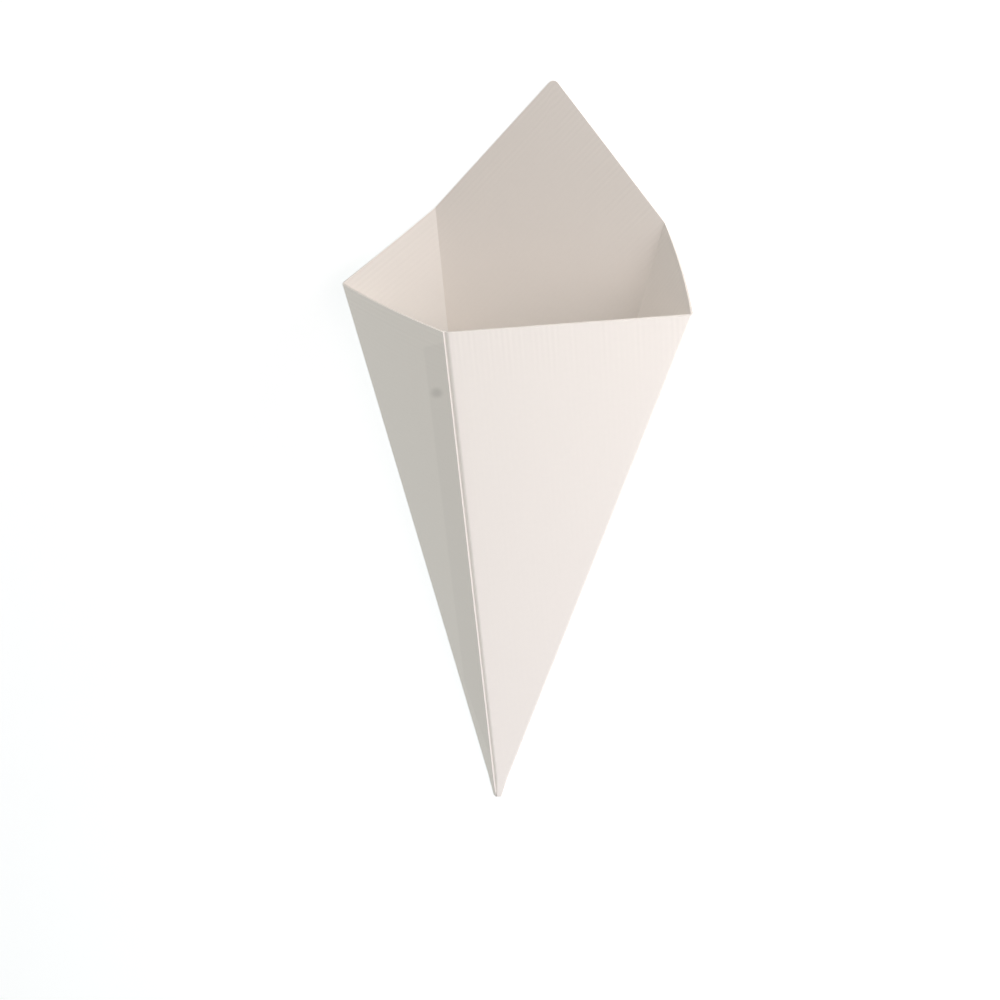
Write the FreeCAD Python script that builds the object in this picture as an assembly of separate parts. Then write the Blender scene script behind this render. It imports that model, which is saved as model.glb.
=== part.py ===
# Paper fry cone: one square card, folded along four creases into five panels that fan out
# from its corner, and closed by a glue tab behind the raw edge of its front seam.
#
# Frame: millimetres, +Z up. The cone lies on its flat back panel, which is the plane Z = 0.
# +Y runs from the tip to the peak, and X = 0 is the plane through the seam, tip and peak.
# The origin is the middle of the bounding box, at the bottom.
import FreeCAD, Part
import math
import os
from FreeCAD import Vector

# ---- the flat card ----
card_side = 180.0             # side of the square card, which is also the length of the seam
card_thickness = 0.6          # fine-fluted board
front_panel_angle = 22.78     # degrees at the tip, for each of the two front panels
side_panel_angle = 10.52      # degrees at the tip, for each of the two narrow side panels
peak_radius = 2.4             # rounding of the card's far corner, the peak
tip_trim = 5.0                # length cut off at the tip, which leaves it open
tip_squeeze = 0.06            # thickness of the pressed card at the tip, as a share of the trim
throat_reach = 21.0           # card thicknesses from the sharp tip to where the card isn't pressed

# ---- how it is folded and opened ----
mouth_opening_angle = 17.88   # degrees between the front seam and the back panel
fold_inner_radius = 0.2       # of the four creases
left_front_bow = 1.1          # bulge of the left front panel, at its mouth edge
right_side_bow = 1.1          # bulge of the right side panel, at its mouth edge
left_side_bow = 0.75          # bulge of the left side panel, at its mouth edge
right_crease_shift = 0.35     # degrees that the right back crease lies nearer to the front one

# ---- the glued seam ----
seam_inner_radius = 1.4       # at the mouth, of the fold that turns the tab in
raw_edge_setback = 0.6        # at the mouth, from the sharp corner back to the panel's raw edge
tab_width = 14.0
tab_mouth_gap = 3.0           # mouth rim to the tab's end, beside the seam
tab_tip_gap = 20.0            # tip of the sharp cone to the tab's end, beside the seam
tab_mouth_slant = 5.0         # how far the tab's mouth end runs back across its width
tab_tip_slant = 26.0          # how far the tab's tip end runs up across its width
root_width = 1.2              # strip beside the fold that is glued over the whole length

# ---- what follows from the sizes ----
glued_strip = tab_width + raw_edge_setback     # the left panel is stiff and flat this far
flat_corner_angle = 90.0                       # the corner of a square card
back_crease_angle = front_panel_angle + side_panel_angle    # on the flat card, from the seam

ACROSS = Vector(1, 0, 0)
TO_PEAK = Vector(0, 1, 0)
UP = Vector(0, 0, 1)


def unit(vector):
    """The vector at length 1."""
    return vector * (1.0 / vector.Length)


def direction_in_plane(first, second, angle_deg):
    """The direction that lies angle_deg from `first`, turned towards `second`."""
    angle = math.radians(angle_deg)
    return first * math.cos(angle) + second * math.sin(angle)


def crease_between(first, first_angle, second, second_angle):
    """The direction at the given angles (degrees) from two others, on the outer side."""
    first_cos = math.cos(math.radians(first_angle))
    second_cos = math.cos(math.radians(second_angle))
    spread = first.dot(second)
    along_first = (first_cos - spread * second_cos) / (1 - spread ** 2)
    along_second = (second_cos - spread * first_cos) / (1 - spread ** 2)
    inside = first * along_first + second * along_second
    return inside + unit(second.cross(first)) * math.sqrt(1 - inside.dot(inside))


def mirrored(point):
    """The same point on the other side of the plane X = 0."""
    return Vector(-point.x, point.y, point.z)


def on_rim(crease, angle_deg):
    """Where a crease at that angle from the card's straight side meets the card's far edge."""
    return crease * (card_side / math.cos(math.radians(angle_deg)))


def side_corners(crease_shift):
    """Front and back mouth corner of the right-hand side panel."""
    back_angle = back_crease_angle - crease_shift
    back_direction = direction_in_plane(TO_PEAK, ACROSS, flat_corner_angle / 2 - back_angle)
    front_direction = crease_between(seam_direction, front_panel_angle,
                                     back_direction, back_angle - front_panel_angle)
    return on_rim(front_direction, front_panel_angle), on_rim(back_direction, back_angle)


# ---- corners of the mouth, where the sharp creases would meet the card's edges ----
seam_direction = direction_in_plane(TO_PEAK, UP, mouth_opening_angle)
seam_corner = seam_direction * card_side
right_front_corner, right_back_corner = side_corners(right_crease_shift)
left_front_corner, left_back_corner = (mirrored(corner) for corner in side_corners(0.0))
peak = TO_PEAK * (card_side * math.sqrt(2))


def outward(start, end):
    """The outward normal of the panel between two corners, going round seam, right, back, left."""
    return unit(end.cross(start))


# The left front panel is flat where it is doubled by the tab, and bowed from there to its crease.
left_edge = left_front_corner - seam_corner
flat_share = glued_strip / left_edge.Length
bow_normal = outward(left_front_corner, seam_corner)
strip_corner = (seam_corner + left_edge * flat_share
                + bow_normal * (4 * left_front_bow * flat_share * (1 - flat_share)))
left_front_own_bow = left_front_bow * (1 - flat_share) ** 2


class Panel:
    """One panel: the sharp mouth corner that it ends at, its normal, its mouth edge and its bow."""

    def __init__(self, start, end, bow=0.0):
        self.end = end
        self.bow = bow
        self.normal = outward(start, end)
        self.edge = unit(end - start)


right_front = Panel(seam_corner, right_front_corner)
right_side = Panel(right_front_corner, right_back_corner, right_side_bow)
back = Panel(right_back_corner, left_back_corner)
left_side = Panel(left_back_corner, left_front_corner, left_side_bow)
left_front = Panel(left_front_corner, strip_corner, left_front_own_bow)
glued = Panel(strip_corner, seam_corner)


class Level:
    """How the card is folded at one share of the way from the sharp tip to the mouth.

    `rounding` and `seam_rounding` are the shares of their full radii that the folds have there."""

    def __init__(self, share, thickness, rounding, seam_rounding):
        self.share = share
        self.thickness = thickness
        self.fold_inside = fold_inner_radius * rounding
        self.fold_outside = (fold_inner_radius + card_thickness) * rounding
        self.seam_inside = seam_inner_radius * seam_rounding
        self.seam_outside = (seam_inner_radius + card_thickness) * seam_rounding
        self.raw_edge = raw_edge_setback * seam_rounding
        self.root = (raw_edge_setback + root_width) * seam_rounding


# The panels press each other thin at the tip. From the throat up the card has its full thickness.
tip = Level(tip_trim / card_side, tip_squeeze * tip_trim, rounding=0.25, seam_rounding=0.04)
throat = Level(throat_reach * card_thickness / card_side, card_thickness,
               rounding=1.0, seam_rounding=0.7)
mouth = Level(1.0, card_thickness, rounding=1.0, seam_rounding=1.0)


class Post:
    """One straight line across the card's thickness at one level, outer and inner point.

    `bulge` is the outward height, outside and inside, of the arc to the next post."""

    def __init__(self, outer, inner, bulge=None):
        self.outer = outer
        self.inner = inner
        self.bulge = bulge


def inward_shift(before, after, depth_before, depth_after):
    """From the sharp corner of two panels to where planes at those depths below them meet."""
    spread = before.normal.dot(after.normal)
    along_before = (depth_after * spread - depth_before) / (1 - spread ** 2)
    along_after = (depth_before * spread - depth_after) / (1 - spread ** 2)
    return before.normal * along_before + after.normal * along_after


def along_edge(edge_direction, crease, distance):
    """The step along a panel's mouth edge that leads `distance` away from a crease."""
    return edge_direction * (distance / edge_direction.cross(crease).Length)


def setback(edge_direction, crease, radius, half_turn):
    """Along a panel's mouth edge, from the sharp corner to where the rounding starts."""
    return along_edge(edge_direction, crease, radius * math.tan(half_turn))


def crease_posts(before, after, edge_before, edge_after, level):
    """The two posts of one rounded crease."""
    corner = before.end * level.share
    crease = unit(before.end)
    half_turn = before.normal.getAngle(after.normal) / 2
    outside = level.fold_outside
    inside = level.fold_inside
    shift = inward_shift(before, after, level.thickness, level.thickness)
    crown = unit(before.normal + after.normal) * (1 - math.cos(half_turn))
    first = Post(corner - setback(edge_before, crease, outside, half_turn),
                 corner + shift - setback(edge_before, crease, inside, half_turn),
                 (crown * outside, crown * inside))
    second = Post(corner + setback(edge_after, crease, outside, half_turn),
                  corner + shift + setback(edge_after, crease, inside, half_turn))
    return first, second


def bowed(post, panel, level):
    """The post, with the arc of its panel's bow up to the next post."""
    if panel.bow:
        bulge = panel.normal * (panel.bow * level.share)
        post.bulge = (bulge, bulge)
    return post


def root_point(level):
    """Where the tab's root ends, on the outer face of the glued strip."""
    return seam_corner * level.share - along_edge(glued.edge, seam_direction, level.root)


def seam_fold_posts(level):
    """Root of the tab, start of the rounding, and start of the right front panel."""
    half_turn = glued.normal.getAngle(right_front.normal) / 2
    crease = seam_direction
    outside = level.seam_outside
    inside = level.seam_inside
    thickness = level.thickness
    corner = seam_corner * level.share
    outer_corner = corner + inward_shift(glued, right_front, thickness, 0.0)
    inner_corner = corner + inward_shift(glued, right_front, 2 * thickness, thickness)
    crown = unit(glued.normal + right_front.normal) * (1 - math.cos(half_turn))
    root = root_point(level)
    return (Post(root - glued.normal * thickness, root - glued.normal * (2 * thickness)),
            Post(outer_corner - setback(glued.edge, crease, outside, half_turn),
                 inner_corner - setback(glued.edge, crease, inside, half_turn),
                 (crown * outside, crown * inside)),
            Post(outer_corner + setback(right_front.edge, crease, outside, half_turn),
                 inner_corner + setback(right_front.edge, crease, inside, half_turn)))


def peak_posts(level):
    """The two ends of the rounded peak, which the back panel alone carries."""
    lift = back.normal * -level.thickness
    crown = TO_PEAK * (peak_radius * level.share * (1 - math.cos(math.pi / 4)))
    right_point = (peak + unit(right_back_corner - peak) * peak_radius) * level.share
    left_point = (peak + unit(left_back_corner - peak) * peak_radius) * level.share
    return (Post(right_point, right_point + lift, (crown, crown)),
            Post(left_point, left_point + lift))


def raw_edge_post(level):
    """The raw edge of the left front panel, which lies on the tab beside the seam fold."""
    edge = seam_corner * level.share - along_edge(glued.edge, seam_direction, level.raw_edge)
    return Post(edge, edge - glued.normal * level.thickness)


def wrap_posts(level):
    """All posts of the five panels at one level, from the seam fold round to the raw edge."""
    up_right = unit(peak - right_back_corner)
    down_left = unit(left_back_corner - peak)
    front_right = crease_posts(right_front, right_side, right_front.edge, right_side.edge, level)
    back_right = crease_posts(right_side, back, right_side.edge, up_right, level)
    back_left = crease_posts(back, left_side, down_left, left_side.edge, level)
    front_left = crease_posts(left_side, left_front, left_side.edge, left_front.edge, level)
    strip_start = strip_corner * level.share
    return [seam_fold_posts(level)[2],
            front_right[0], bowed(front_right[1], right_side, level),
            back_right[0], back_right[1],
            *peak_posts(level),
            back_left[0], bowed(back_left[1], left_side, level),
            front_left[0], bowed(front_left[1], left_front, level),
            Post(strip_start, strip_start - glued.normal * level.thickness),
            raw_edge_post(level)]


def edge_between(start, end, bulge):
    """A straight edge, or an arc that stands out by `bulge` at its middle."""
    if bulge is None:
        return Part.LineSegment(start, end).toShape()
    return Part.Arc(start, (start + end) * 0.5 + bulge, end).toBSpline().toShape()


def quad(first, second, third, fourth):
    """A flat face if the four corners lie in one plane, and a ruled one if not."""
    off_plane = (third - first).dot((second - first).cross(fourth - first))
    if abs(off_plane) < 1e-7:
        return Part.Face(Part.makePolygon([first, second, third, fourth, first]))
    return Part.makeRuledSurface(Part.LineSegment(first, second).toShape(),
                                 Part.LineSegment(fourth, third).toShape())


def ruled(start, end, bulge, far_start, far_end, far_bulge):
    """The face of straight lines between two edges that run side by side."""
    if bulge is None:
        return quad(start, end, far_end, far_start)
    return Part.makeRuledSurface(edge_between(start, end, bulge),
                                 edge_between(far_start, far_end, far_bulge))


def card_strip(levels):
    """The solid between the outer and inner skins of the same posts at several levels."""
    faces = []
    for lower, upper in zip(levels, levels[1:]):
        for index in range(len(lower) - 1):
            low, low_next = lower[index], lower[index + 1]
            high, high_next = upper[index], upper[index + 1]
            low_out, low_in = low.bulge or (None, None)
            high_out, high_in = high.bulge or (None, None)
            faces.append(ruled(low.outer, low_next.outer, low_out, high.outer, high_next.outer, high_out))
            faces.append(ruled(low.inner, low_next.inner, low_in, high.inner, high_next.inner, high_in))
        for low, high in ((lower[0], upper[0]), (lower[-1], upper[-1])):
            faces.append(quad(low.outer, high.outer, high.inner, low.inner))
    for posts in (levels[0], levels[-1]):
        for post, following in zip(posts, posts[1:]):
            outside, inside = post.bulge or (None, None)
            faces.append(ruled(post.outer, following.outer, outside,
                               post.inner, following.inner, inside))
    shell = Part.makeShell(faces)
    shell.sewShape()
    solid = Part.makeSolid(Part.makeShell(shell.Faces))
    if solid.Volume < 0:
        solid.reverse()
    return solid


def glue_tab():
    """The flat tab under the raw edge, with both ends cut at a slant.

    It starts half-way through the left front panel, so that the glued joint is solid."""
    across = unit(glued.normal.cross(seam_direction))
    if across.dot(glued.edge) > 0:
        across = across * -1
    near_throat = (raw_edge_post(throat).outer + root_point(throat)) * 0.5
    near_mouth = (raw_edge_post(mouth).outer + root_point(mouth)) * 0.5
    near_line = unit(near_mouth - near_throat)
    tip_end = near_throat + near_line * (tab_tip_gap - throat.share * card_side)
    mouth_end = near_mouth - near_line * tab_mouth_gap
    outline = [tip_end,
               mouth_end,
               mouth_end - seam_direction * tab_mouth_slant + across * tab_width,
               tip_end + seam_direction * tab_tip_slant + across * tab_width,
               tip_end]
    inside_panel = glued.normal * (card_thickness / 2)
    top_face = Part.Face(Part.makePolygon([point - inside_panel for point in outline]))
    return top_face.extrude(glued.normal * (-1.5 * card_thickness))


panels = card_strip([wrap_posts(level) for level in (tip, throat, mouth)])
seam_fold = card_strip([seam_fold_posts(level) for level in (tip, throat, mouth)])

cone = panels.fuse([seam_fold, glue_tab()]).removeSplitter()
if cone.ShapeType != "Solid":
    cone = cone.Solids[0]
box = cone.BoundBox
cone.translate(Vector(0, -(box.YMin + box.YMax) / 2, 0))

os.makedirs("parts", exist_ok=True)
cone.exportStep("parts/folded_card.step")

box = cone.BoundBox
print("folded_card: valid", cone.isValid(), "closed", cone.isClosed(), "volume", round(cone.Volume, 1))
print("size", round(box.XLength, 2), round(box.YLength, 2), round(box.ZLength, 2))
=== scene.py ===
import math

import bmesh
import bpy
from mathutils import Matrix, Vector


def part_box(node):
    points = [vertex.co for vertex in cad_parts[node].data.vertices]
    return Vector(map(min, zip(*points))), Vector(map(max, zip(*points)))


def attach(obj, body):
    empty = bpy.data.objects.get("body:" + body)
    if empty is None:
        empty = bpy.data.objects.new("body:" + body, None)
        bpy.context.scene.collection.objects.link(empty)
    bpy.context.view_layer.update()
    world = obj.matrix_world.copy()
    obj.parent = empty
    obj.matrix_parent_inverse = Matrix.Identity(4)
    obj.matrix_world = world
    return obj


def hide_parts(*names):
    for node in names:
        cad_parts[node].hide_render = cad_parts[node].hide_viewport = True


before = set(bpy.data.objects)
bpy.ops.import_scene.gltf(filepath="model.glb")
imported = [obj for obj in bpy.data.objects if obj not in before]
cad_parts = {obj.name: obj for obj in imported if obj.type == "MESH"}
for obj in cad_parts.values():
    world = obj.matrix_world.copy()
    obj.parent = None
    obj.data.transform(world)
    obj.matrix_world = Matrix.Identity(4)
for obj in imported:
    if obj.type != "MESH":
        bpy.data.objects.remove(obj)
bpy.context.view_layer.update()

# ---- The card of the cone --------------------------------------------------------------
# One die-cut square of fine-fluted white food board, folded along four creases that fan out from
# its corner, the tip. A tab along one side is turned in at the seam and glued under the raw edge
# of the left front panel. Lengths are in millimetres, as on the cutting die.

card_side = 180.0
card_thickness = 0.6
front_panel_angle = 22.78
side_panel_angle = 10.52
square_corner = 90.0
peak_radius = 2.4
tip_trim = 5.0
tip_squeeze = 0.06
throat_reach = 21.0
mouth_opening_angle = 17.88
fold_inner_radius = 0.2
left_front_bow = 1.1
right_side_bow = 1.1
left_side_bow = 0.75
right_crease_shift = 0.35
seam_inner_radius = 1.4
raw_edge_setback = 0.6
root_width = 1.2
tab_width = 14.0
tab_mouth_gap = 3.0
tab_tip_gap = 20.0
tab_mouth_slant = 5.0
tab_tip_slant = 26.0

to_peak = Vector((0, 1, 0))
across = Vector((1, 0, 0))
up = Vector((0, 0, 1))


def turned(first, second, angle):
    """The direction that lies `angle` degrees from `first`, turned towards `second`."""
    return first * math.cos(math.radians(angle)) + second * math.sin(math.radians(angle))


def crease_between(first, first_angle, second, second_angle):
    """The crease at the given angles from two other lines through the tip, on the outer side."""
    first_cos = math.cos(math.radians(first_angle))
    second_cos = math.cos(math.radians(second_angle))
    spread = first.dot(second)
    along_first = (first_cos - spread * second_cos) / (1 - spread ** 2)
    along_second = (second_cos - spread * first_cos) / (1 - spread ** 2)
    inside = first * along_first + second * along_second
    return inside + second.cross(first).normalized() * math.sqrt(1 - inside.dot(inside))


def mirrored(point):
    return Vector((-point.x, point.y, point.z))


def on_rim(crease_line, angle):
    """Where a crease at that angle from the card's straight side meets the card's far edge."""
    return crease_line * (card_side / math.cos(math.radians(angle)))


def side_corners(back_angle):
    """Front and back mouth corner of the right side panel, for the angle of its back crease."""
    back_line = turned(to_peak, across, square_corner / 2 - back_angle)
    front_line = crease_between(seam_line, front_panel_angle, back_line, back_angle - front_panel_angle)
    return on_rim(front_line, front_panel_angle), on_rim(back_line, back_angle)


left_back_angle = front_panel_angle + side_panel_angle
right_back_angle = left_back_angle - right_crease_shift
seam_line = turned(to_peak, up, mouth_opening_angle)
seam_corner = seam_line * card_side
peak = to_peak * (card_side * math.sqrt(2))
right_front_corner, right_back_corner = side_corners(right_back_angle)
left_front_corner, left_back_corner = (mirrored(corner) for corner in side_corners(left_back_angle))


def outward(start, end):
    """Outward normal of the panel between two mouth corners, going round seam, right, back, left."""
    return end.cross(start).normalized()


# The left front panel lies flat where the tab backs it, and bulges from there to its crease.
left_edge = left_front_corner - seam_corner
glued_strip = tab_width + raw_edge_setback
flat_share = glued_strip / left_edge.length
strip_corner = (seam_corner + left_edge * flat_share
                + outward(left_front_corner, seam_corner)
                * (4 * left_front_bow * flat_share * (1 - flat_share)))


class Panel:
    """One panel: its sharp mouth corners, its bulge, and where its mouth edge lies on the flat card."""

    def __init__(self, start, end, flat_start, flat_end, bow=0.0):
        self.start = start
        self.end = end
        self.bow = bow
        self.normal = outward(start, end)
        self.edge = (end - start).normalized()
        self.flat_start = Vector(flat_start)
        self.flat_end = Vector(flat_end)

    def flat(self, point):
        """Where a point of the mouth edge lies on the flat card."""
        share = (point - self.start).dot(self.edge) / (self.end - self.start).length
        return self.flat_start.lerp(self.flat_end, share)


front_reach = card_side * math.tan(math.radians(front_panel_angle))
right_reach = card_side * math.tan(math.radians(right_back_angle))
left_reach = card_side * math.tan(math.radians(left_back_angle))
right_front = Panel(seam_corner, right_front_corner, (0, card_side), (front_reach, card_side))
right_side = Panel(right_front_corner, right_back_corner,
                   (front_reach, card_side), (right_reach, card_side), right_side_bow)
back_to_peak = Panel(right_back_corner, peak, (right_reach, card_side), (card_side, card_side))
back_from_peak = Panel(peak, left_back_corner, (card_side, card_side), (card_side, left_reach))
left_side = Panel(left_back_corner, left_front_corner,
                  (card_side, left_reach), (card_side, front_reach), left_side_bow)
left_front = Panel(left_front_corner, strip_corner, (card_side, front_reach),
                   (card_side, glued_strip), left_front_bow * (1 - flat_share) ** 2)
glued = Panel(strip_corner, seam_corner, (card_side, glued_strip), (card_side, 0))


class Level:
    """How the card is folded at one share of the way from the sharp tip to the mouth."""

    # Share of the way, thickness, and how full the rounding of the creases and of the seam is. The
    # card is pressed thin at the tip and has its full thickness from the throat up.
    tip = (tip_trim / card_side, tip_squeeze * tip_trim, 0.25, 0.04)
    throat = (throat_reach * card_thickness / card_side, card_thickness, 1.0, 0.7)
    mouth = (1.0, card_thickness, 1.0, 1.0)

    def __init__(self, share):
        low, high = (Level.tip, Level.throat) if share < Level.throat[0] else (Level.throat, Level.mouth)
        place = (share - low[0]) / (high[0] - low[0])
        self.share = share
        self.thickness, rounding, seam_rounding = (
            a + (b - a) * place for a, b in zip(low[1:], high[1:]))
        self.fold_inside = fold_inner_radius * rounding
        self.fold_outside = (fold_inner_radius + card_thickness) * rounding
        self.seam_inside = seam_inner_radius * seam_rounding
        self.seam_outside = (seam_inner_radius + card_thickness) * seam_rounding
        self.raw_edge = raw_edge_setback * seam_rounding
        self.root = (raw_edge_setback + root_width) * seam_rounding


class Station:
    """One line through the card's thickness: its outer and inner end, and its place on the flat card."""

    def __init__(self, outer, inner, flat):
        self.outer = outer
        self.inner = inner
        self.flat = flat


def inward_shift(before, after, depth_before, depth_after):
    """From the sharp corner of two panels to where planes at those depths below them meet."""
    spread = before.normal.dot(after.normal)
    along_before = (depth_after * spread - depth_before) / (1 - spread ** 2)
    along_after = (depth_before * spread - depth_after) / (1 - spread ** 2)
    return before.normal * along_before + after.normal * along_after


def along_edge(edge, crease, distance):
    """The step along a mouth edge that leads `distance` away from a crease."""
    return edge * (distance / edge.cross(crease).length)


def run(start, end, count, bulge=None, last=False):
    """Stations from start up to end, straight or along a flat arc that stands out by `bulge`."""
    stations = []
    for step in range(count + (1 if last else 0)):
        share = step / count
        lift = (bulge * (4 * share * (1 - share))) if bulge else Vector((0, 0, 0))
        stations.append(Station(start.outer.lerp(end.outer, share) + lift,
                                start.inner.lerp(end.inner, share) + lift,
                                start.flat.lerp(end.flat, share)))
    return stations


def bend(start, end, count, outer_corner, inner_corner, half_turn):
    """Stations round a fold: round arcs from start to end, which the sharp corners pull out."""
    stations = []
    for step in range(count):
        share = step / count
        early, late = (1 - share) ** 2, share ** 2
        pull = 2 * share * (1 - share) * math.cos(half_turn)
        whole = early + pull + late
        stations.append(Station((start.outer * early + outer_corner * pull + end.outer * late) / whole,
                                (start.inner * early + inner_corner * pull + end.inner * late) / whole,
                                start.flat.lerp(end.flat, share)))
    return stations


def crease(before, after, level, count):
    """The two ends of one rounded crease, and the stations between them."""
    corner = before.end * level.share
    line = before.end.normalized()
    half_turn = before.normal.angle(after.normal) / 2
    inner_corner = corner + inward_shift(before, after, level.thickness, level.thickness)
    reach = math.tan(half_turn)
    ends = []
    for panel, way in ((before, -1), (after, 1)):
        outer_step = along_edge(panel.edge, line, level.fold_outside * reach) * way
        inner_step = along_edge(panel.edge, line, level.fold_inside * reach) * way
        ends.append(Station(corner + outer_step, inner_corner + inner_step,
                            panel.flat(before.end + outer_step / level.share) * level.share))
    return ends[0], ends[1], bend(ends[0], ends[1], count, corner, inner_corner, half_turn)


def tab_reach(distance):
    """How far the tab stands out from its root at a distance along the seam from the tip."""
    far = tab_width - root_width
    from_tip = (distance - tab_tip_gap) * far / tab_tip_slant
    from_mouth = (card_side - tab_mouth_gap - distance) * far / tab_mouth_slant
    return max(0.0, min(far, from_tip, from_mouth))


# How many steps the mesh takes across each panel, round each fold and up each part of the card.
front_steps, side_steps, back_steps = 30, 16, 22
tab_steps, root_steps, strip_steps = 8, 3, 8
seam_fold_steps, front_fold_steps, back_fold_steps, peak_steps = 12, 10, 6, 8
pressed_steps, full_steps = 12, 84


def card_row(share):
    """All stations at one level, from the tab's free edge round to the raw edge of the left panel."""
    level = Level(share)
    thickness = level.thickness
    corner = seam_corner * share

    # The tab, the strip at its root, and the fold that turns it in.
    down = glued.normal * -1
    seam_flat = Vector((0, card_side)) * share

    def tab_station(offset):
        flat_point = corner - along_edge(glued.edge, seam_line, offset) + down * thickness
        return Station(flat_point, flat_point + down * thickness, seam_flat - Vector((offset, 0)))

    root = tab_station(level.root)
    free = tab_station(level.root + tab_reach(share * card_side))
    half_turn = glued.normal.angle(right_front.normal) / 2
    reach = math.tan(half_turn)
    outer_corner = corner + inward_shift(glued, right_front, thickness, 0.0)
    inner_corner = corner + inward_shift(glued, right_front, 2 * thickness, thickness)
    fold_start = Station(outer_corner - along_edge(glued.edge, seam_line, level.seam_outside * reach),
                         inner_corner - along_edge(glued.edge, seam_line, level.seam_inside * reach),
                         seam_flat - Vector((level.seam_outside * half_turn, 0)))
    fold_end = Station(outer_corner + along_edge(right_front.edge, seam_line, level.seam_outside * reach),
                       inner_corner + along_edge(right_front.edge, seam_line, level.seam_inside * reach),
                       seam_flat + Vector((level.seam_outside * reach, 0)))
    stations = run(free, root, tab_steps) + run(root, fold_start, root_steps)
    stations += bend(fold_start, fold_end, seam_fold_steps, outer_corner, inner_corner, half_turn)

    # The right front and right side panels.
    front_end, side_start, fold = crease(right_front, right_side, level, front_fold_steps)
    stations += run(fold_end, front_end, front_steps) + fold
    side_end, back_start, fold = crease(right_side, back_to_peak, level, back_fold_steps)
    stations += run(side_start, side_end, side_steps, right_side.normal * (right_side.bow * share)) + fold

    # The back panel with its rounded peak.
    lift = up * thickness
    right_point = (peak + (right_back_corner - peak).normalized() * peak_radius) * share
    left_point = (peak + (left_back_corner - peak).normalized() * peak_radius) * share
    top = peak * share
    peak_start = Station(right_point, right_point + lift, back_to_peak.flat(right_point / share) * share)
    peak_end = Station(left_point, left_point + lift, back_from_peak.flat(left_point / share) * share)
    stations += run(back_start, peak_start, back_steps)
    stations += bend(peak_start, peak_end, peak_steps, top, top + lift, math.radians(square_corner / 2))
    back_end, side_start, fold = crease(back_from_peak, left_side, level, back_fold_steps)
    stations += run(peak_end, back_end, back_steps) + fold

    # The left side panel, the bulging left front panel and its glued strip.
    side_end, front_start, fold = crease(left_side, left_front, level, front_fold_steps)
    stations += run(side_start, side_end, side_steps, left_side.normal * (left_side.bow * share)) + fold
    strip_start = Station(strip_corner * share, strip_corner * share + down * thickness,
                          glued.flat_start * share)
    raw_point = corner - along_edge(glued.edge, seam_line, level.raw_edge)
    raw_edge = Station(raw_point, raw_point + down * thickness,
                       Vector((card_side * share, level.raw_edge)))
    stations += run(front_start, strip_start, front_steps, left_front.normal * (left_front.bow * share))
    return stations + run(strip_start, raw_edge, strip_steps, last=True)


def row_shares():
    """Levels from the tip to the mouth, with one at each corner of the tab."""
    tip_share, throat_share = Level.tip[0], Level.throat[0]
    shares = [tip_share + (throat_share - tip_share) * step / pressed_steps
              for step in range(pressed_steps)]
    shares += [throat_share + (1 - throat_share) * step / full_steps for step in range(full_steps + 1)]
    corners = (tab_tip_gap, tab_tip_gap + tab_tip_slant,
               card_side - tab_mouth_gap - tab_mouth_slant, card_side - tab_mouth_gap)
    return sorted(shares + [distance / card_side for distance in corners])


rows = [card_row(share) for share in row_shares()]
mesh = bmesh.new()
flat_map = mesh.loops.layers.uv.new("flat_card")
depth_map = mesh.loops.layers.uv.new("through_card")
outer = [[mesh.verts.new(station.outer) for station in row] for row in rows]
inner = [[mesh.verts.new(station.inner) for station in row] for row in rows]

LINER, CUT_EDGE = 0, 1


def add_face(corners, flats, slot, depths=(0, 0, 0, 0)):
    """One face of the card's mesh. Its corners' places on the flat card are in centimetres, and
    their depths run from 0 on the outer liner to 1 on the inner one."""
    face = mesh.faces.new(corners)
    face.material_index = slot
    face.smooth = slot == LINER
    for loop, flat, depth in zip(face.loops, flats, depths):
        loop[flat_map].uv = flat / 10
        loop[depth_map].uv = (depth, 0)


last_row, last_column = len(rows) - 1, len(rows[0]) - 1
for r in range(last_row):
    for c in range(last_column):
        around = ((r, c), (r, c + 1), (r + 1, c + 1), (r + 1, c))
        flats = [rows[i][j].flat for i, j in around]
        add_face([outer[i][j] for i, j in around], flats, LINER)
        add_face([inner[i][j] for i, j in reversed(around)], flats[::-1], LINER)

rim = [((0, c + 1), (0, c)) for c in range(last_column)]
rim += [((last_row, c), (last_row, c + 1)) for c in range(last_column)]
rim += [((r, 0), (r + 1, 0)) for r in range(last_row)]
rim += [((r + 1, last_column), (r, last_column)) for r in range(last_row)]
for (i, j), (k, m) in rim:
    corners = [outer[i][j], outer[k][m], inner[k][m], inner[i][j]]
    flats = [rows[i][j].flat, rows[k][m].flat, rows[k][m].flat, rows[i][j].flat]
    add_face(corners, flats, CUT_EDGE, (0, 0, 1, 1))

# Points that fall together, as where the tab has run out, become one.
same_point = 1e-5
bmesh.ops.remove_doubles(mesh, verts=mesh.verts, dist=same_point)
bmesh.ops.recalc_face_normals(mesh, faces=mesh.faces)
for mesh_edge in mesh.edges:
    mesh_edge.smooth = len({face.material_index for face in mesh_edge.link_faces}) == 1

# From millimetres with the tip at the origin to metres in the frame, where the solid's box lies.
metre = 0.001
box_low, box_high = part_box("folded_card")
tip_to_middle = (min(v.co.y for v in mesh.verts) + max(v.co.y for v in mesh.verts)) / 2
to_frame = Matrix.Translation(Vector((0, (box_low[1] + box_high[1]) / 2, 0)))
to_frame = to_frame @ Matrix.Scale(metre, 4) @ Matrix.Translation(Vector((0, -tip_to_middle, 0)))
bmesh.ops.transform(mesh, matrix=to_frame, verts=mesh.verts)
card_mesh = bpy.data.meshes.new("fry_cone_card")
mesh.to_mesh(card_mesh)
mesh.free()
card = bpy.data.objects.new("fry_cone_card", card_mesh)
bpy.context.collection.objects.link(card)


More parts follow.
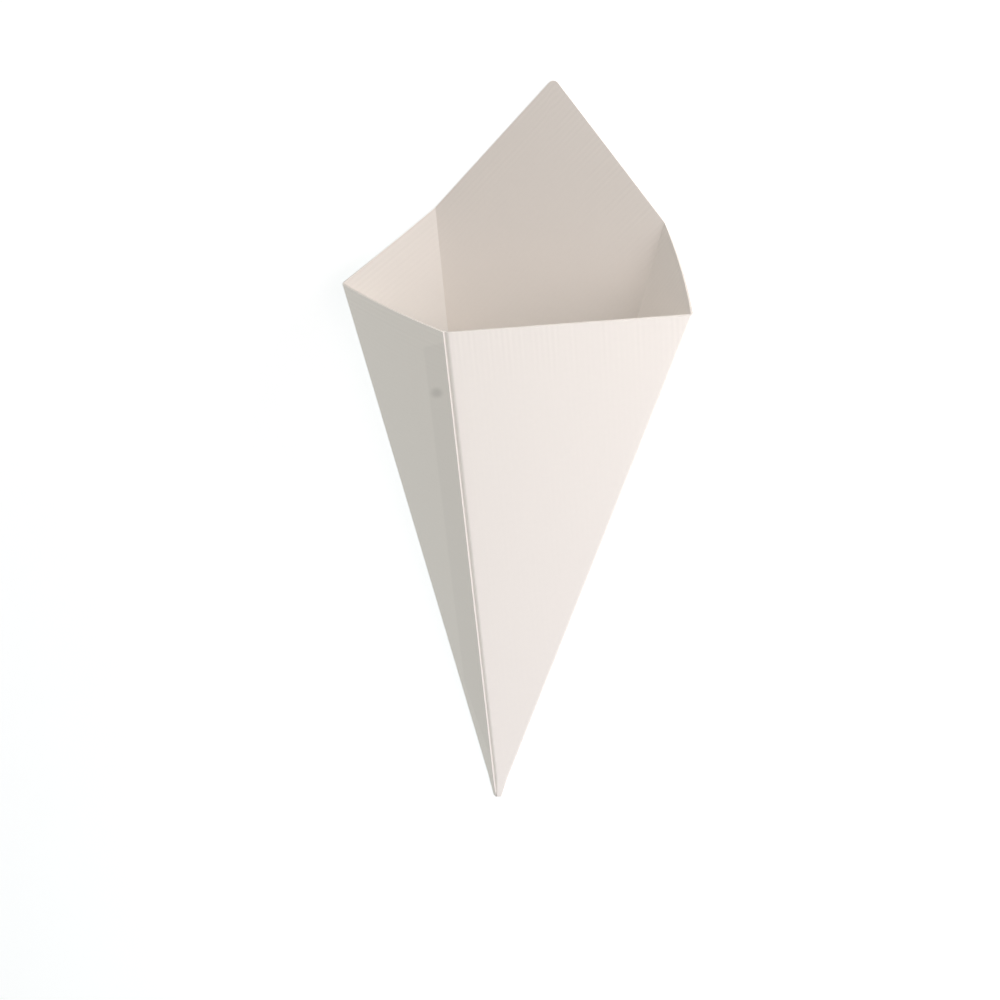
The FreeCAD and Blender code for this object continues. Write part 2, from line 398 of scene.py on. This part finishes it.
class Finish:
    """A material's node tree, with short ways to add the nodes that a paper finish needs."""

    def __init__(self, name, roughness):
        self.material = bpy.data.materials.new(name)
        self.material.use_nodes = True
        self.tree = self.material.node_tree
        self.shader = self.tree.nodes["Principled BSDF"]
        self.shader.inputs["Roughness"].default_value = roughness
        self.shader.inputs["IOR"].default_value = 1.4

    def put(self, socket, value):
        if isinstance(value, bpy.types.NodeSocket):
            self.tree.links.new(value, socket)
        else:
            socket.default_value = value

    def calc(self, operation, first, second=0.0, third=0.0):
        """A sum, product or other calculation of up to three numbers."""
        node = self.tree.nodes.new("ShaderNodeMath")
        node.operation = operation
        for socket, value in zip(node.inputs, (first, second, third)):
            self.put(socket, value)
        return node.outputs[0]

    def weighted(self, first, first_weight, second, second_weight):
        """The sum of two numbers, each times its weight."""
        return self.calc("MULTIPLY_ADD", first, first_weight, self.calc("MULTIPLY", second, second_weight))

    def ramp(self, value, start, end, low=0.0, high=1.0):
        """A smooth step of a number from low at start to high at end."""
        node = self.tree.nodes.new("ShaderNodeMapRange")
        node.interpolation_type = "SMOOTHSTEP"
        for name, number in (("Value", value), ("From Min", start), ("From Max", end),
                             ("To Min", low), ("To Max", high)):
            self.put(node.inputs[name], number)
        return node.outputs[0]

    def place_on_card(self, layer="flat_card"):
        """The two coordinates on the flat card, in centimetres."""
        where = self.tree.nodes.new("ShaderNodeUVMap")
        where.uv_map = layer
        split = self.tree.nodes.new("ShaderNodeSeparateXYZ")
        self.tree.links.new(where.outputs[0], split.inputs[0])
        return where.outputs[0], split.outputs[0], split.outputs[1]

    def place_in_room(self):
        """The place on an object that has no flat card, in metres."""
        return self.tree.nodes.new("ShaderNodeTexCoord").outputs["Object"]

    def noise(self, where, scale, stretch=(1, 1, 1), detail=2.0):
        """Soft noise from 0 to 1, with `scale` grains for each unit of the place."""
        mapping = self.tree.nodes.new("ShaderNodeMapping")
        mapping.inputs["Scale"].default_value = stretch
        self.tree.links.new(where, mapping.inputs["Vector"])
        node = self.tree.nodes.new("ShaderNodeTexNoise")
        node.inputs["Scale"].default_value = scale
        node.inputs["Detail"].default_value = detail
        self.tree.links.new(mapping.outputs[0], node.inputs["Vector"])
        return node.outputs["Fac"]

    def tint(self, colour, shade):
        """Sets the base colour, darkened or lightened by the number `shade`."""
        node = self.tree.nodes.new("ShaderNodeVectorMath")
        node.operation = "SCALE"
        node.inputs[0].default_value = colour
        self.put(node.inputs["Scale"], shade)
        self.tree.links.new(node.outputs[0], self.shader.inputs["Base Color"])

    def relief(self, height):
        """A height in millimetres, shown as bump."""
        node = self.tree.nodes.new("ShaderNodeBump")
        node.inputs["Distance"].default_value = 0.001
        self.put(node.inputs["Height"], height)
        self.tree.links.new(node.outputs[0], self.shader.inputs["Normal"])


# From here on, places on the card are in centimetres from the tip: `side_a` along the raw edge and
# `side_b` along the tab's fold. Heights are in millimetres.
paper_white = (0.86, 0.83, 0.79)
rim_distance = card_side / 10
flute_pitch = 0.173
flute_height = 0.005
fibre_height = 0.006
wave_height = 0.03
rib_shade = 0.016
mottle_shade = 0.02
liner = Finish("white_liner", 0.6)
card_place, side_a, side_b = liner.place_on_card()

# The flutes run beside the tab's fold. They print through the liner in faint ribs that come and
# go, and that are strongest at the rim.
ribs = liner.calc("SINE", liner.calc("MULTIPLY", side_a, math.tau / flute_pitch))
from_tip = liner.calc("MAXIMUM", side_a, side_b)
near_rim = liner.ramp(from_tip, rim_distance - 2.2, rim_distance - 0.2, 0.2, 1.0)
patches = liner.ramp(liner.noise(card_place, 1.0, (3.0, 0.3, 1)), 0.38, 0.62, 0.15, 1.0)
ribs = liner.calc("MULTIPLY", ribs, liner.calc("MULTIPLY", near_rim, patches))
fibres = liner.calc("MULTIPLY", liner.noise(card_place, 28.0, (1.4, 0.8, 1), 3.0), fibre_height)
waves = liner.calc("MULTIPLY", liner.noise(card_place, 1.1), wave_height)
liner.relief(liner.calc("ADD", liner.calc("MULTIPLY_ADD", ribs, flute_height, fibres), waves))

# Where the tab backs the left front panel, the card lets less light through: painted shade, a darker base
# colour over the tab's outline.
tab_shade = 0.042
tab_free_edge = glued_strip / 10
tab_tip_end = tab_tip_gap / 10
tab_mouth_end = (card_side - tab_mouth_gap) / 10
on_tip_slant = liner.weighted(side_a, 1.0, side_b, -tab_tip_slant / tab_width)
on_mouth_slant = liner.weighted(side_a, 1.0, side_b, tab_mouth_slant / tab_width)
over_tab = liner.ramp(side_b, tab_free_edge - 0.12, tab_free_edge + 0.04, 1.0, 0.0)
past_tip_end = liner.ramp(on_tip_slant, tab_tip_end - 0.1, tab_tip_end + 0.1)
below_mouth_end = liner.ramp(on_mouth_slant, tab_mouth_end - 0.05, tab_mouth_end + 0.05, 1.0, 0.0)
painted_tab_shade = liner.calc("MULTIPLY", liner.calc("MULTIPLY", over_tab, past_tip_end), below_mouth_end)

# One drop of the glue shows through as a soft grey spot, a slanting oval.
glue_shade = 0.17
glue_a, glue_b = 15.8, 0.91
past_glue_a = liner.calc("SUBTRACT", side_a, glue_a)
past_glue_b = liner.calc("SUBTRACT", side_b, glue_b)
along_oval = liner.weighted(past_glue_a, 0.55, past_glue_b, 2.42)
across_oval = liner.weighted(past_glue_a, 5.2, past_glue_b, 1.28)
from_glue = liner.calc("SQRT", liner.calc("ADD", liner.calc("POWER", along_oval, 2.0),
                                          liner.calc("POWER", across_oval, 2.0)))
glue_spot = liner.ramp(from_glue, 0.2, 1.3, glue_shade, 0.0)

mottle = liner.calc("MULTIPLY", liner.calc("SUBTRACT", liner.noise(card_place, 6.0), 0.5), mottle_shade)
shade = liner.calc("ADD", liner.calc("MULTIPLY_ADD", ribs, rib_shade, 1.0), mottle)
# Painted shade: the base colour is darkened over the tab's outline.
shade = liner.calc("SUBTRACT", shade, liner.calc("MULTIPLY", painted_tab_shade, tab_shade))
liner.tint(paper_white, liner.calc("SUBTRACT", shade, glue_spot))

# A cut edge shows the two liners with the wave of the flutes between them. The open hollows of the flutes
# get painted shade, and near the tip the edge is darkened with a painted shadow for the open slot there.
board_white = (0.87, 0.84, 0.8)
hollow_shade = 0.06
open_tip_shade = 0.45
tip_end = tip_trim / 10
cut_edge = Finish("cut_board", 0.85)
edge_a, edge_b = cut_edge.place_on_card()[1:]
depth = cut_edge.place_on_card("through_card")[1]
flute = cut_edge.calc("SINE", cut_edge.calc("MULTIPLY", edge_a, math.tau / flute_pitch))
flute_depth = cut_edge.calc("MULTIPLY_ADD", flute, 0.3, 0.5)
off_flute = cut_edge.calc("ABSOLUTE", cut_edge.calc("SUBTRACT", depth, flute_depth))
off_middle = cut_edge.calc("ABSOLUTE", cut_edge.calc("SUBTRACT", depth, 0.5))
# Painted shade in the open hollows of the flutes, between the liners and the wave.
shaded_hollow = cut_edge.calc("MULTIPLY", cut_edge.ramp(off_flute, 0.07, 0.14),
                       cut_edge.ramp(off_middle, 0.3, 0.36, 1.0, 0.0))
edge_from_tip = cut_edge.calc("MAXIMUM", edge_a, edge_b)
# Painted shadow: the cut edge is darkened towards the tip, standing in for the open slot there.
tip_slot_shadow = cut_edge.ramp(edge_from_tip, tip_end + 0.05, tip_end + 0.25, open_tip_shade, 0.0)
painted_edge_shade = cut_edge.calc("MULTIPLY_ADD", shaded_hollow, hollow_shade, tip_slot_shadow)
cut_edge.tint(board_white, cut_edge.calc("SUBTRACT", 1.0, painted_edge_shade))
card_mesh.materials.append(liner.material)
card_mesh.materials.append(cut_edge.material)
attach(card, "root")
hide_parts("folded_card")

# ---- The floor -------------------------------------------------------------------------
# A plain pale table top that the cone lies on, matt and very slightly mottled, and lit through
# from below like a light table. It isn't part of the cone.

floor_half_side = 3.0
floor_corners = [(x * floor_half_side, y * floor_half_side, 0)
                 for x, y in ((-1, -1), (1, -1), (1, 1), (-1, 1))]
floor_mesh = bpy.data.meshes.new("floor")
floor_mesh.from_pydata(floor_corners, [], [(0, 1, 2, 3)])
floor = bpy.data.objects.new("floor", floor_mesh)
bpy.context.collection.objects.link(floor)
table_white = (0.93, 0.93, 0.93)
table_glow = (0.893, 0.954, 1.0, 1)
table = Finish("pale_table", 0.9)
table_grain = table.noise(table.place_in_room(), 60.0)
table.tint(table_white, table.calc("MULTIPLY_ADD", table_grain, 0.02, 0.99))
table.relief(table.calc("MULTIPLY", table_grain, 0.02))
table.shader.inputs["Emission Color"].default_value = table_glow
table.shader.inputs["Emission Strength"].default_value = 0.459
floor_mesh.materials.append(table.material)

# ---- The light -------------------------------------------------------------------------
# Five soft boxes: two high ones, on the right and behind on the left, a low one before the tip,
# and two small low ones on the right. An even pale room fills in.

cone_middle = Vector((0, 0, 0.02))


def soft_box(name, place, size, power, colour):
    """A square soft box that faces the cone and isn't seen itself."""
    lamp = bpy.data.lights.new(name, "AREA")
    lamp.shape = "SQUARE"
    lamp.size = size
    lamp.energy = power
    lamp.color = colour
    made = bpy.data.objects.new(name, lamp)
    made.location = place
    made.rotation_euler = (cone_middle - Vector(place)).to_track_quat("-Z", "Y").to_euler()
    made.visible_camera = False
    bpy.context.collection.objects.link(made)


soft_box("right_box", (1.149, 0.0, 0.964), 0.8, 4.29, (1.0, 0.762, 0.685))
soft_box("back_left_box", (-0.813, 0.813, 0.964), 0.8, 5.88, (1.0, 0.811, 0.709))
soft_box("tip_box", (0.0, -1.449, 0.388), 0.8, 3.48, (0.888, 1.0, 0.828))
soft_box("mouth_box", (0.45, 0.2, 0.12), 0.25, 1.216, (1.0, 0.954, 0.941))
soft_box("panel_box", (0.35, -0.4, 0.12), 0.25, 0.72, (0.944, 0.856, 1.0))
room = bpy.data.worlds.new("room")
room.use_nodes = True
room_light = room.node_tree.nodes["Background"]
room_light.inputs["Color"].default_value = (0.9, 0.988, 1.0, 1)
room_light.inputs["Strength"].default_value = 0.326
bpy.context.scene.world = room
bpy.context.scene.view_settings.view_transform = "Standard"

# ---- The camera ------------------------------------------------------------------------
# It looks down on the cone from above its mouth, on the right, with the seam running up the
# view and the tip at the bottom.

view_line = Vector((-0.50334, -0.17268, -0.84666)).normalized()
view_up = Vector((-0.15249, 0.9822, -0.10967))
tip_to_camera = Vector((0.22859, 0.19327, 0.39899))
view_right = view_line.cross(view_up).normalized()
view_up = view_right.cross(view_line)
camera_place = tip_to_camera - Vector((0, tip_to_middle * metre, 0))
camera_data = bpy.data.cameras.new("camera")
camera_data.sensor_width = 36.0
camera_data.lens = 48.464
camera_data.clip_start = 0.01
camera = bpy.data.objects.new("camera", camera_data)
bpy.context.collection.objects.link(camera)
turn = Matrix((view_right, view_up, -view_line)).transposed().to_4x4()
camera.matrix_world = Matrix.Translation(camera_place) @ turn
bpy.context.scene.camera = camera
